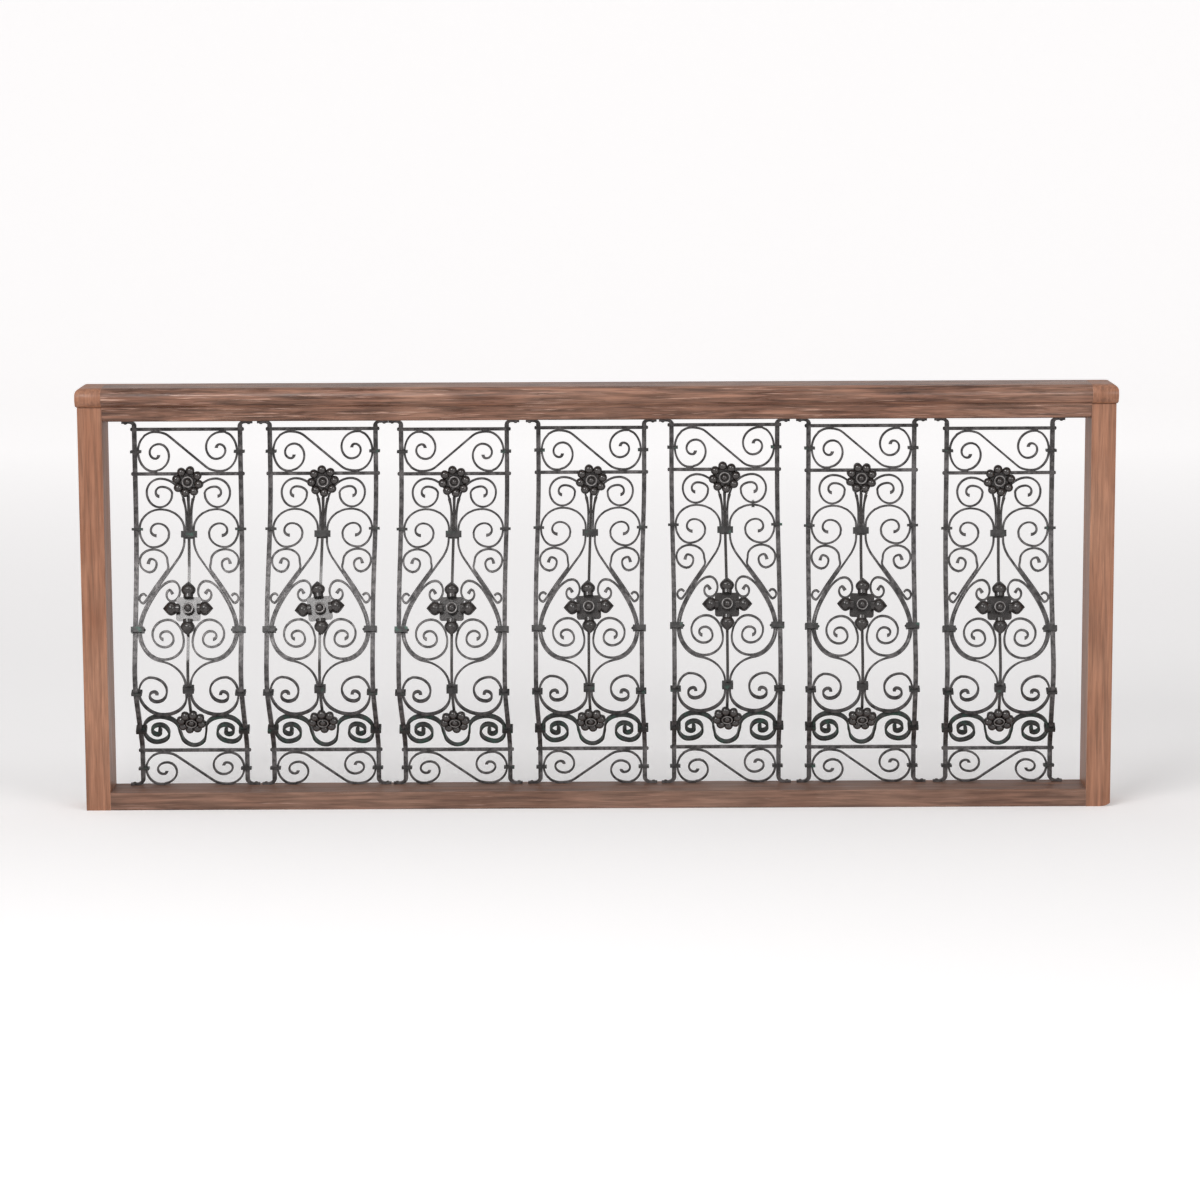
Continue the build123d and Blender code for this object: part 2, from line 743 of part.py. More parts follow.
def bottom_rail():
    length = frame_width - 2 * stile_width - 2 * joint_gap
    piece = Pos(0, 0, bottom_rail_height / 2) * Box(length, frame_depth, bottom_rail_height)
    front_edges = piece.edges().filter_by(Axis.X).group_by(Axis.Y)[0]
    piece = chamfer(front_edges, worn_edge)
    for side in (-1, 1):
        piece += tenon(side, *tenon_heights()[1])
    for hole in screw_holes(False, True):
        piece -= hole
    return piece


def stile(side):
    """A stile from the floor to the head, with the nosing carried over its top and returned at the end."""
    radius = nose_height / 2
    under_nose = frame_height - nose_height
    x_mid = side * (half_width - stile_width / 2)
    post = Pos(x_mid, 0, under_nose / 2) * Box(stile_width, frame_depth, under_nose)
    wide = stile_width + nose_overhang
    nose_mid_y = front_y - nose_reach + radius
    section = Plane.YZ * make_face([
        Polyline((nose_mid_y, under_nose), (back_y, under_nose), (back_y, frame_height), (nose_mid_y, frame_height)),
        ThreePointArc(
            (nose_mid_y, frame_height), (nose_mid_y - radius, frame_height - radius), (nose_mid_y, under_nose)
        ),
    ])
    head = extrude(section, wide / 2, both=True)
    head = Pos(side * (half_width + nose_overhang - wide / 2), 0, 0) * head
    end = side * (half_width + nose_overhang)
    inner = end - side * wide
    outline = Polyline(
        (inner, under_nose), (end - side * nose_end_ease, under_nose), (end, under_nose + nose_end_ease),
        (end, frame_height - nose_end_round),
    )
    corner = RadiusArc(
        (end, frame_height - nose_end_round), (end - side * nose_end_round, frame_height), -side * nose_end_round
    )
    close = Polyline((end - side * nose_end_round, frame_height), (inner, frame_height), (inner, under_nose))
    cutter = extrude(Plane.XZ * make_face([outline, corner, close]), 2 * frame_depth, both=True)
    piece = post + (head & cutter)
    for low, high in tenon_heights():
        piece -= mortise(side, low, high)
    if side > 0:
        piece -= foot_wear()
    return piece


def foot_wear():
    """What is worn away from the outer corner of the right stile's foot."""
    x = half_width
    edge = make_face([
        Line((x - worn_foot_width, 0), (x + 1, 0)),
        Line((x + 1, 0), (x + 1, worn_foot_height)),
        Line((x + 1, worn_foot_height), (x, worn_foot_height)),
        ThreePointArc(
            (x, worn_foot_height), (x - 0.4 * worn_foot_width, 0.28 * worn_foot_height), (x - worn_foot_width, 0)
        ),
    ])
    return extrude(Plane.XZ * edge, 2 * frame_depth, both=True)


def save(name, piece):
    export_step(piece, "parts/" + name + ".step")


os.makedirs("parts", exist_ok=True)
save("left_stile", stile(-1))
save("right_stile", stile(1))
save("top_rail", top_rail())
save("bottom_rail", bottom_rail())
save("foot_screws", group(foot_screw(k, side, top) for k, side in screw_places() for top in (False, True)))
for k in range(len(grille_x)):
    name = "grille_" + str(k + 1)
    save(name + "_bars", bars(k))
    save(name + "_box_scrolls", group([
        box_scroll(
            k, crossbar_levels[1] + crossbar_thick / 2, crossbar_levels[2] - crossbar_thick / 2,
            top_scroll_rises[k],
        ),
        box_scroll(k, 0.0, crossbar_levels[0] - crossbar_thick / 2, low_scroll_rises[k]),
    ]))
    save(name + "_lyre_scrolls", group(lyre_scroll(k, side) for side in (-1, 1)))
    inner = [make(k, side) for side in (-1, 1) for make in (stem_scroll, side_scroll, heart_scroll)]
    save(name + "_inner_scrolls", group(inner))
    save(name + "_wave_scroll", wave_scroll(k))
    save(name + "_flowers", flowers(k))
    save(name + "_collars", collars(k))
save("wire_tie", wire_tie(tied_grille - 1))
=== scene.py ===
# %% [markdown]
# # A framed iron panel
# Seven pot-bellied wrought-iron grilles stand side by side in a timber frame: an old, dark head and foot
# rail between two newer, orange-brown stiles. The shapes come finished from the construction model, so
# this lesson is about what a maker sees last: grain, wear, scale on iron, the heads of screws and rivets,
# and the light.

# %% Load the construction model
import math
import bpy
import bmesh
from mathutils import Matrix, Vector


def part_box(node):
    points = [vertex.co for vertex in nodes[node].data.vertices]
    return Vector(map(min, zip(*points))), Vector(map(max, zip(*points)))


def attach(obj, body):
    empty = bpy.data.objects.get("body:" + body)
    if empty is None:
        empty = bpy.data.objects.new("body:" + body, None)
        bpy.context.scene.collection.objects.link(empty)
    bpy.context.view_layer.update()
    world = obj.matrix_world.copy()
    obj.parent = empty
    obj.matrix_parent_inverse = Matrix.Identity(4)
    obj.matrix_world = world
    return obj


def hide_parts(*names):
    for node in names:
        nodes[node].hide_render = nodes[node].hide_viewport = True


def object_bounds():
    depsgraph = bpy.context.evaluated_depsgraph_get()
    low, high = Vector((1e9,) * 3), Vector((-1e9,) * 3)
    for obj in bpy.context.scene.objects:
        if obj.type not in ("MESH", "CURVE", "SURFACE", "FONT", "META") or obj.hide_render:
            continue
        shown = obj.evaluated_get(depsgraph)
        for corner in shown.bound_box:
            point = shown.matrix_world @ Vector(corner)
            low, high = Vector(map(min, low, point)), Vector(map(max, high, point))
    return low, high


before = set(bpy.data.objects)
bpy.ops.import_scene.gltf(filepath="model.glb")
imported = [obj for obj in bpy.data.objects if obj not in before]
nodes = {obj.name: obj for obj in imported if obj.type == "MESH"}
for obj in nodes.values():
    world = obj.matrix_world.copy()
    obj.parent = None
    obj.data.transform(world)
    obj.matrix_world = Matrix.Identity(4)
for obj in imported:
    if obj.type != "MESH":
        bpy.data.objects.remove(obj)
cad_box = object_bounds()
print("nodes:", len(nodes), "box:", [tuple(round(v, 3) for v in corner) for corner in cad_box])

# %% [markdown]
# ## Helpers for materials
# A material is a small graph of nodes. Each finish below starts from the piece's own place in space
# (Object coordinates), because that needs no unwrapping and runs through every piece of one plank at the
# same scale. These helpers keep the graphs short: one makes an empty finish, the others join values and
# mix colours.

# %% Helpers for materials
def new_finish(name):
    """An empty material with its shader and its Object coordinates."""
    finish = bpy.data.materials.new(name)
    finish.use_nodes = True
    tree = finish.node_tree
    shader = tree.nodes["Principled BSDF"]
    place = tree.nodes.new("ShaderNodeTexCoord").outputs["Object"]
    return finish, tree, shader, place


def stretched(tree, place, scale):
    """The same place, squeezed or stretched along each axis."""
    node = tree.nodes.new("ShaderNodeMapping")
    node.inputs["Scale"].default_value = scale
    tree.links.new(place, node.inputs["Vector"])
    return node.outputs["Vector"]


def noise(tree, vector, scale, detail, rough, twist=0.0):
    """Soft, random light and dark. scale is how many patches lie in a metre."""
    node = tree.nodes.new("ShaderNodeTexNoise")
    node.inputs["Scale"].default_value = scale
    node.inputs["Detail"].default_value = detail
    node.inputs["Roughness"].default_value = rough
    node.inputs["Distortion"].default_value = twist
    tree.links.new(vector, node.inputs["Vector"])
    return node.outputs["Fac"]


def mapped(tree, value, low, high, to_low=0.0, to_high=1.0):
    """Stretches the range from low to high over the range from to_low to to_high."""
    node = tree.nodes.new("ShaderNodeMapRange")
    node.inputs["From Min"].default_value = low
    node.inputs["From Max"].default_value = high
    node.inputs["To Min"].default_value = to_low
    node.inputs["To Max"].default_value = to_high
    tree.links.new(value, node.inputs["Value"])
    return node.outputs["Result"]


def calc(tree, kind, a, b):
    """One step of arithmetic on two values, each a number or a socket."""
    node = tree.nodes.new("ShaderNodeMath")
    node.operation = kind
    for socket, value in zip(node.inputs, (a, b)):
        if isinstance(value, (int, float)):
            socket.default_value = value
        else:
            tree.links.new(value, socket)
    return node.outputs["Value"]


def blend_colour(tree, factor, a, b, way="MIX"):
    """Two colours mixed. A Mix node has sockets for every kind of data: 6, 7 and 2 are for colour."""
    node = tree.nodes.new("ShaderNodeMix")
    node.data_type = "RGBA"
    node.blend_type = way
    factor_in, a_in, b_in = node.inputs[0], node.inputs[6], node.inputs[7]
    for socket, value in ((factor_in, factor), (a_in, a), (b_in, b)):
        if isinstance(value, (int, float)):
            socket.default_value = value
        elif isinstance(value, tuple):
            socket.default_value = value + (1.0,)
        else:
            tree.links.new(value, socket)
    return node.outputs[2]


def raised(tree, shader, height, strength, distance):
    """A skin too fine to model, left to the light: distance is its height in metres."""
    node = tree.nodes.new("ShaderNodeBump")
    node.inputs["Strength"].default_value = strength
    node.inputs["Distance"].default_value = distance
    tree.links.new(height, node.inputs["Height"])
    tree.links.new(node.outputs["Normal"], shader.inputs["Normal"])


def axis_of(tree, place, axis):
    """One axis of a place."""
    node = tree.nodes.new("ShaderNodeSeparateXYZ")
    tree.links.new(place, node.inputs["Vector"])
    return node.outputs[axis]


# %% [markdown]
# ## Timber
# The stiles are younger wood: smooth, orange-brown, with fine straight grain up their length. The rails
# are old: darker, drier, scratched along their length and pale where hands and weather have taken the
# colour off the edges. Both come from one recipe, noise drawn out along the grain, with different colours
# and more wear.

# %% Timber finishes
drawn_out = 0.045       # the scale along the grain, which makes patches about twenty times longer


def timber(name, along, deep, mid, pale, wear, rough, relief, figure_scale=26.0):
    """Wood whose grain runs along X or Z. wear is how much of the pale, rubbed wood shows."""
    finish, tree, shader, place = new_finish(name)
    grain_way = (drawn_out, 1.0, 1.0) if along == "X" else (1.0, 1.0, drawn_out)
    figure_way = tuple(v ** 0.8 for v in grain_way)
    scratch_way = tuple(v * 0.6 if v < 1 else v * 1.6 for v in grain_way)
    grain = noise(tree, stretched(tree, place, grain_way), scale=150.0, detail=6.0, rough=0.62, twist=0.3)
    figure = noise(tree, stretched(tree, place, figure_way), figure_scale, detail=6.0, rough=0.62, twist=0.8)
    patches = noise(tree, place, scale=5.5, detail=3.0, rough=0.5)
    scratches = noise(tree, stretched(tree, place, scratch_way), scale=210.0, detail=3.0, rough=0.8)
    tone = blend_colour(tree, mapped(tree, figure, 0.32, 0.68), deep, mid)
    tone = blend_colour(tree, mapped(tree, patches, 0.38, 0.72, 0.0, 0.6), tone, pale)
    fine = mapped(tree, grain, 0.36, 0.62, 0.74 - 0.3 * wear, 1.1 + 0.22 * wear)
    shade = tree.nodes.new("ShaderNodeCombineColor")
    for socket in shade.inputs:
        tree.links.new(fine, socket)
    tone = blend_colour(tree, 1.0, tone, shade.outputs["Color"], "MULTIPLY")
    marks = mapped(tree, scratches, 0.68 - 0.07 * wear, 0.73 - 0.07 * wear, 0.0, 0.9 * wear)
    bare_wood = tuple(min(1.0, 1.55 * v + 0.12) for v in pale)
    tone = blend_colour(tree, marks, tone, bare_wood)
    tree.links.new(tone, shader.inputs["Base Color"])
    sheen = calc(tree, "ADD", mapped(tree, figure, 0.3, 0.7, -0.1, 0.12), rough)
    tree.links.new(sheen, shader.inputs["Roughness"])
    shader.inputs["Specular IOR Level"].default_value = 0.42
    skin = calc(tree, "ADD", grain, calc(tree, "MULTIPLY", scratches, 0.8))
    raised(tree, shader, skin, relief, distance=0.0006)
    return finish


newer_wood = timber(
    "newer_wood", "Z", deep=(0.27, 0.11, 0.058), mid=(0.37, 0.17, 0.10), pale=(0.46, 0.235, 0.145),
    wear=0.22, rough=0.38, relief=0.3, figure_scale=34.0,
)
old_wood = timber(
    "old_wood", "X", deep=(0.085, 0.036, 0.022), mid=(0.29, 0.14, 0.09), pale=(0.37, 0.205, 0.14),
    wear=1.0, rough=0.30, relief=1.0, figure_scale=75.0,
)
foot_wood = timber(
    "foot_wood", "X", deep=(0.13, 0.064, 0.042), mid=(0.26, 0.135, 0.09), pale=(0.30, 0.175, 0.125),
    wear=0.5, rough=0.46, relief=0.8, figure_scale=60.0,
)
worn_newer = timber(
    "worn_newer_edge", "Z", deep=(0.36, 0.19, 0.12), mid=(0.46, 0.26, 0.18), pale=(0.55, 0.36, 0.27),
    wear=0.5, rough=0.5, relief=0.3,
)
worn_old = timber(
    "worn_old_edge", "X", deep=(0.16, 0.10, 0.075), mid=(0.36, 0.24, 0.18), pale=(0.52, 0.40, 0.33),
    wear=1.0, rough=0.5, relief=0.6,
)
print("timber finishes:", [m.name for m in (newer_wood, old_wood, foot_wood, worn_newer, worn_old)])

# %% [markdown]
# ## Softened edges
# A plank's edge is never a knife edge. The construction model keeps its planks plain, so each one is
# copied, its loose triangles are welded, and a Bevel takes a little over 1 mm off its edges. Bevel can
# give the new faces a material of their own, which is how rubbed, paler wood gets onto every edge and
# nowhere else.

# %% Softened edges
weld_gap = 0.00002      # corners nearer than this are one corner
sharp = math.radians(32)        # an edge that turns by more than this is eased


def welded(node):
    """A copy of a construction node with its triangles joined and its flat faces whole again."""
    mesh = nodes[node].data.copy()
    body = bmesh.new()
    body.from_mesh(mesh)
    bmesh.ops.remove_doubles(body, verts=body.verts, dist=weld_gap)
    bmesh.ops.dissolve_limit(body, angle_limit=math.radians(1), verts=body.verts, edges=body.edges)
    body.to_mesh(mesh)
    body.free()
    return mesh


def made_plain(piece, name):
    """Keeps what a piece's modifiers make of it as a plain mesh, and takes the modifiers off."""
    done = bpy.data.meshes.new_from_object(piece.evaluated_get(bpy.context.evaluated_depsgraph_get()))
    piece.modifiers.clear()
    piece.data = done
    done.name = name


def softened(name, node, main, edge, width):
    """A plank with eased edges, which stands in for its construction node."""
    mesh = welded(node)
    mesh.name = name
    piece = bpy.data.objects.new(name, mesh)
    bpy.context.collection.objects.link(piece)
    mesh.materials.clear()
    mesh.materials.append(main)
    mesh.materials.append(edge)
    round_off = piece.modifiers.new("edges", "BEVEL")
    round_off.width = width
    round_off.segments = 2
    round_off.limit_method = "ANGLE"
    round_off.angle_limit = sharp
    round_off.material = 1
    round_off.use_clamp_overlap = True
    made_plain(piece, name)
    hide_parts(node)
    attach(piece, "root")
    return piece


planks = [
    softened("left_stile_wood", "left_stile", newer_wood, worn_newer, width=0.0014),
    softened("right_stile_wood", "right_stile", newer_wood, worn_newer, width=0.0014),
    softened("head_rail_wood", "top_rail", old_wood, worn_old, width=0.0012),
    softened("foot_rail_wood", "bottom_rail", foot_wood, worn_old, width=0.0010),
]
for plank in planks:
    print(plank.name, len(plank.data.polygons), "faces")

# %% [markdown]
# ## Iron
# The bars are old wrought iron: nearly black, grey where rubbed, with a fine forged skin. Traces of green
# paint are left on the broad wave scroll and round the collars. The cast flowers are browner and shine
# more, because their rounded petals were handled and waxed.

# %% Iron finishes
green_paint = (0.045, 0.105, 0.08)


def iron(name, dark, grey, rough, green=0.0, relief=0.5, metal=0.35, coat=0.0):
    """Forged or cast iron. green is how much of the old paint is left, coat how much wax."""
    finish, tree, shader, place = new_finish(name)
    skin = noise(tree, place, scale=420.0, detail=5.0, rough=0.6)
    rubbed = noise(tree, place, scale=85.0, detail=4.0, rough=0.6)
    tone = blend_colour(tree, mapped(tree, rubbed, 0.4, 0.7), dark, grey)
    if green:
        paint = noise(tree, place, scale=60.0, detail=5.0, rough=0.65)
        left_on = mapped(tree, paint, 0.58 - 0.16 * green, 0.66, 0.0, 0.85)
        tone = blend_colour(tree, left_on, tone, green_paint)
    tree.links.new(tone, shader.inputs["Base Color"])
    shader.inputs["Metallic"].default_value = metal
    shader.inputs["Coat Weight"].default_value = coat
    shader.inputs["Coat Roughness"].default_value = 0.12
    tree.links.new(mapped(tree, skin, 0.3, 0.7, rough - 0.1, rough + 0.14), shader.inputs["Roughness"])
    raised(tree, shader, skin, relief, distance=0.0005)
    return finish


strap_dark = (0.036, 0.033, 0.033)
strap_grey = (0.15, 0.14, 0.14)
finishes = {
    "bars": iron("bar_iron", (0.040, 0.036, 0.036), (0.17, 0.158, 0.158), rough=0.36),
    "box_scrolls": iron("box_scroll_iron", strap_dark, strap_grey, rough=0.36),
    "lyre_scrolls": iron("lyre_iron", strap_dark, strap_grey, rough=0.36),
    "inner_scrolls": iron("scroll_iron", strap_dark, strap_grey, rough=0.36),
    "wave_scroll": iron("wave_iron", (0.033, 0.033, 0.033), (0.09, 0.092, 0.088), rough=0.4, green=0.5),
    "flowers": iron(
        "flower_iron", (0.026, 0.022, 0.021), (0.055, 0.047, 0.045),
        rough=0.24, relief=0.15, metal=0.25, coat=0.6,
    ),
    "collars": iron(
        "collar_iron", (0.026, 0.024, 0.024), (0.062, 0.058, 0.057),
        rough=0.4, green=0.08, metal=0.2,
    ),
}
petal_gloss = iron(
    "petal_gloss", (0.030, 0.024, 0.022), (0.05, 0.042, 0.04), rough=0.18, relief=0.05, metal=0.3, coat=1.0
)
# A pale finish for the rims round the eyes: its light, silvery colour is a painted highlight
painted_rim_highlight = iron("painted_rim_highlight", (0.22, 0.205, 0.2), (0.42, 0.4, 0.395), rough=0.34, metal=0.5)
screw_steel = iron("screw_steel", (0.06, 0.055, 0.05), (0.13, 0.12, 0.11), rough=0.45)
wire_finish = iron("tie_wire", (0.07, 0.068, 0.066), (0.16, 0.155, 0.15), rough=0.5)

grilles = range(1, 8)


def dress(node, finish):
    """Puts one finish on a construction node as it stands."""
    for place in nodes[node].material_slots:
        place.material = finish


for k in grilles:
    for kind, finish in finishes.items():
        dress("grille_%d_%s" % (k, kind), finish)
print("iron finishes on", len(grilles) * len(finishes), "nodes:", sorted(finishes))

# %% [markdown]
# ## What repeats: screw heads and rivets
# Twenty-eight round slotted screws hold the feet, and forty-two rivets close the ends of the crossbars.
# Modelling each by hand would be slow and too regular. Geometry Nodes puts one small part on many points
# instead. First the points: the construction model's screws and crossbars are separate islands of one
# mesh, so their places are read from it, and nothing has to be measured twice.

# %% Islands of a construction node
def islands(node):
    """The lowest and highest corner of each separate solid in a node, in the order of its first vertex."""
    body = bmesh.new()
    body.from_mesh(nodes[node].data)
    bmesh.ops.remove_doubles(body, verts=body.verts, dist=weld_gap)
    left = set(body.verts)
    boxes = []
    for first in body.verts:
        if first not in left:
            continue
        left.remove(first)
        front = [first]
        low, high = first.co.copy(), first.co.copy()
        while front:
            vert = front.pop()
            low = Vector(map(min, low, vert.co))
            high = Vector(map(max, high, vert.co))
            for edge in vert.link_edges:
                other = edge.other_vert(vert)
                if other in left:
                    left.remove(other)
                    front.append(other)
        boxes.append((low, high))
    body.free()
    return boxes


screw_high = 0.0022         # a construction screw's head stands this far out of its foot
crossbar_least = 0.15       # a crossbar is longer than this
crossbar_most = 0.02        # and lower than this
middle_height = (cad_box[0][2] + cad_box[1][2]) / 2
screw_spots, screw_tilts = [], []
for low, high in islands("foot_screws"):
    at_top = low.z > middle_height
    level = low.z + screw_high if at_top else high.z - screw_high
    screw_spots.append(((low.x + high.x) / 2, (low.y + high.y) / 2, level))
    screw_tilts.append((math.pi if at_top else 0.0, 0.0, 0.0))
rivet_spots, rivet_tilts = [], []
for k in grilles:
    for low, high in islands("grille_%d_bars" % k):
        if high.x - low.x > crossbar_least and high.z - low.z < crossbar_most:
            for x, tilt in ((low.x, -math.pi / 2), (high.x, math.pi / 2)):
                rivet_spots.append((x, (low.y + high.y) / 2, (low.z + high.z) / 2))
                rivet_tilts.append((0.0, tilt, 0.0))
print("screws:", len(screw_spots), "rivets:", len(rivet_spots))

# %% [markdown]
# A screw's head is a low dome with a slot sawn across it, and its shank goes on through the foot. A
# rivet's head is the same dome without a slot. A slot could be cut out with a Boolean, but two half domes
# with a disc between them give the same shape with clean faces, and a part that is repeated should have
# few of them.

# %% The small parts themselves
def dome(body, width, high, slot, side):
    """Half of a round head on one side of its slot, or a whole head where there is no slot."""
    part = bmesh.new()
    bmesh.ops.create_uvsphere(part, u_segments=20, v_segments=12, radius=width / 2)
    bmesh.ops.scale(part, vec=(1, 1, 2 * high / width), verts=part.verts)
    cuts = [((0, 0, 0), (0, 0, 1))]
    if slot:
        cuts.append(((side * slot / 2, 0, 0), (side, 0, 0)))
    for point, way in cuts:
        whole = part.verts[:] + part.edges[:] + part.faces[:]
        cut = bmesh.ops.bisect_plane(part, geom=whole, plane_co=point, plane_no=way, clear_inner=True)
        rim = [item for item in cut["geom_cut"] if isinstance(item, bmesh.types.BMEdge)]
        bmesh.ops.edgeloop_fill(part, edges=rim)
    mesh = bpy.data.meshes.new("dome")
    part.to_mesh(mesh)
    part.free()
    body.from_mesh(mesh)
    bpy.data.meshes.remove(mesh)


def as_object(name, body, smooth=False):
    """Turns a finished bmesh into an object."""
    mesh = bpy.data.meshes.new(name)
    body.to_mesh(mesh)
    body.free()
    if smooth:
        for face in mesh.polygons:
            face.use_smooth = True
    made = bpy.data.objects.new(name, mesh)
    bpy.context.collection.objects.link(made)
    return made


def round_part(name, width, high, slot=0.0, disc=0.0, shank=0.0, shank_width=0.0):
    """A round head, with a disc under its slot and a shank below it, as an object to be repeated."""
    body = bmesh.new()
    disc_width, disc_top = width * 0.98, 0.0004
    for side in (-1, 1) if slot else (1,):
        dome(body, width, high, slot, side)
    for wide, top, deep in ((disc_width, disc_top, disc), (shank_width, 0.0, shank)):
        if deep:
            move = Matrix.Translation((0, 0, top - deep / 2))
            bmesh.ops.create_cone(
                body, cap_ends=True, segments=20, radius1=wide / 2, radius2=wide / 2, depth=deep, matrix=move
            )
    bmesh.ops.recalc_face_normals(body, faces=body.faces)
    return as_object(name, body)


screw_part = round_part(
    "one_screw", width=0.0074, high=0.0021, slot=0.0011, disc=0.0006, shank=0.020, shank_width=0.0036
)
rivet_part = round_part("one_rivet", width=0.0078, high=0.0022)
for part in (screw_part, rivet_part):
    print(part.name, len(part.data.polygons), "faces")

# %% [markdown]
# The tree below is the one tool for both: it puts a part on every point, tips it by a vector kept on the
# point, and spins it by a random amount, so that the slots point every way. The modifier's inputs are the
# part, how far it may spin, a fixed seed and the finish. At the end the copies are made real and the whole
# is one plain mesh.

# %% A tree that repeats a part on points
def tree_with(name, inputs):
    """An empty Geometry Nodes tree with named inputs."""
    tree = bpy.data.node_groups.new(name, "GeometryNodeTree")
    tree.interface.new_socket("Geometry", in_out="INPUT", socket_type="NodeSocketGeometry")
    for label, kind in inputs:
        tree.interface.new_socket(label, in_out="INPUT", socket_type="NodeSocket" + kind)
    tree.interface.new_socket("Geometry", in_out="OUTPUT", socket_type="NodeSocketGeometry")
    return tree, tree.nodes.new("NodeGroupInput"), tree.nodes.new("NodeGroupOutput")


def finished_off(tree, start, end, shape):
    """The last steps of every tree: copies made real, and one finish over all."""
    real = tree.nodes.new("GeometryNodeRealizeInstances")
    tree.links.new(shape, real.inputs[0])
    paint = tree.nodes.new("GeometryNodeSetMaterial")
    tree.links.new(real.outputs[0], paint.inputs["Geometry"])
    tree.links.new(start.outputs["Finish"], paint.inputs["Material"])
    tree.links.new(paint.outputs[0], end.inputs[0])


def repeat_tree():
    """Copies of a part on points, each tipped by its point's own tilt."""
    tree, start, end = tree_with(
        "repeat_on_points", (("Part", "Object"), ("Spin", "Float"), ("Seed", "Int"), ("Finish", "Material"))
    )
    make, link = tree.nodes.new, tree.links.new
    part = make("GeometryNodeObjectInfo")
    link(start.outputs["Part"], part.inputs["Object"])
    tip = make("GeometryNodeInputNamedAttribute")
    tip.data_type = "FLOAT_VECTOR"
    tip.inputs["Name"].default_value = "tilt"
    chance = make("FunctionNodeRandomValue")
    chance.data_type = "FLOAT"
    link(start.outputs["Spin"], chance.inputs[3])
    link(start.outputs["Seed"], chance.inputs["Seed"])
    spin = make("ShaderNodeCombineXYZ")
    link(chance.outputs[1], spin.inputs["Z"])
    total = make("ShaderNodeVectorMath")
    link(tip.outputs[0], total.inputs[0])
    link(spin.outputs[0], total.inputs[1])
    copies = make("GeometryNodeInstanceOnPoints")
    link(start.outputs["Geometry"], copies.inputs["Points"])
    link(part.outputs["Geometry"], copies.inputs["Instance"])
    link(total.outputs[0], copies.inputs["Rotation"])
    finished_off(tree, start, end, copies.outputs[0])
    return tree


def grown(name, mesh, tree, settings):
    """Runs a mesh through a tree and keeps what comes out as a plain mesh."""
    piece = bpy.data.objects.new(name, mesh)
    bpy.context.collection.objects.link(piece)
    modifier = piece.modifiers.new("grow", "NODES")
    modifier.node_group = tree
    for item in tree.interface.items_tree:
        if item.item_type == "SOCKET" and item.in_out == "INPUT" and item.name in settings:
            modifier[item.identifier] = settings[item.name]
    made_plain(piece, name)
    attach(piece, "root")
    print(name, len(piece.data.polygons), "faces")
    return piece


def points(name, spots, tilts):
    """A mesh of bare points, each with its own tilt."""
    mesh = bpy.data.meshes.new(name)
    mesh.from_pydata(spots, [], [])
    kept = mesh.attributes.new("tilt", "FLOAT_VECTOR", "POINT")
    for item, tilt in zip(kept.data, tilts):
        item.vector = tilt
    return mesh


repeat = repeat_tree()
heads = grown("foot_screw_heads", points("screw_points", screw_spots, screw_tilts), repeat,
              {"Part": screw_part, "Spin": 3.1, "Seed": 4, "Finish": screw_steel})
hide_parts("foot_screws")
rivets = grown("rivet_heads", points("rivet_points", rivet_spots, rivet_tilts), repeat,
               {"Part": rivet_part, "Spin": 0.0, "Seed": 1, "Finish": finishes["bars"]})
for part in (screw_part, rivet_part):
    bpy.data.objects.remove(part)

# %% [markdown]
# ## Rosettes and flowers
# The rosettes are the brightest thing on the ironwork: eight round petals, handled until they shine, and a
# ball in a rim whose pale, silvery colour is a painted highlight. Their plates come from the construction
# model. The same tree puts a rounder, smoother petal over each one there, and a rim round each eye. A
# rosette's middle is found by measuring its island along the way it faces: the top one faces forward, and
# the low one follows the underside of the belly.

# %% Where the rosettes and flowers are
casting_width = 0.05        # a rosette or a flower is wider than this, and what carries it isn't
near = 0.00001
belly_lean = math.radians(36)
upper_lean = math.radians(20)


def casting_points(node, above, below):
    """The points of the casting between two levels."""
    for low, high in islands(node):
        if high.x - low.x > casting_width and low.z > above and high.z < below:
            return [v.co for v in nodes[node].data.vertices
                    if all(low[i] - near <= v.co[i] <= high[i] + near for i in range(3))]


def facing(verts, lean):
    """The middle of a casting's front, its directions across, up and out, and its radius."""
    across = Vector((1, 0, 0))
    out = Vector((0, -math.cos(lean), -math.sin(lean)))
    up = Vector((0, -math.sin(lean), math.cos(lean)))
    sizes = []
    for way in (across, up, out):
        reach = [v.dot(way) for v in verts]
        sizes.append((min(reach), max(reach)))
    middle = across * sum(sizes[0]) / 2 + up * sum(sizes[1]) / 2 + out * sizes[2][1]
    return middle, across, up, out, (sizes[0][1] - sizes[0][0]) / 2


# %% Points for petals, eyes and rims
petal_count = 8
rosette_turn = (32, 5, 8, 12, 9, 19, 8)     # degrees, one for each grille
petal_nearer = 0.0004       # the new petals are rounder, so they sit this much nearer the middle
rim_back, eye_back = 0.0032, 0.0062     # behind the front of a rosette
bud_rim_back, bud_eye_back = 0.0093, 0.0083     # behind the front of a flower, whose buds stand far out

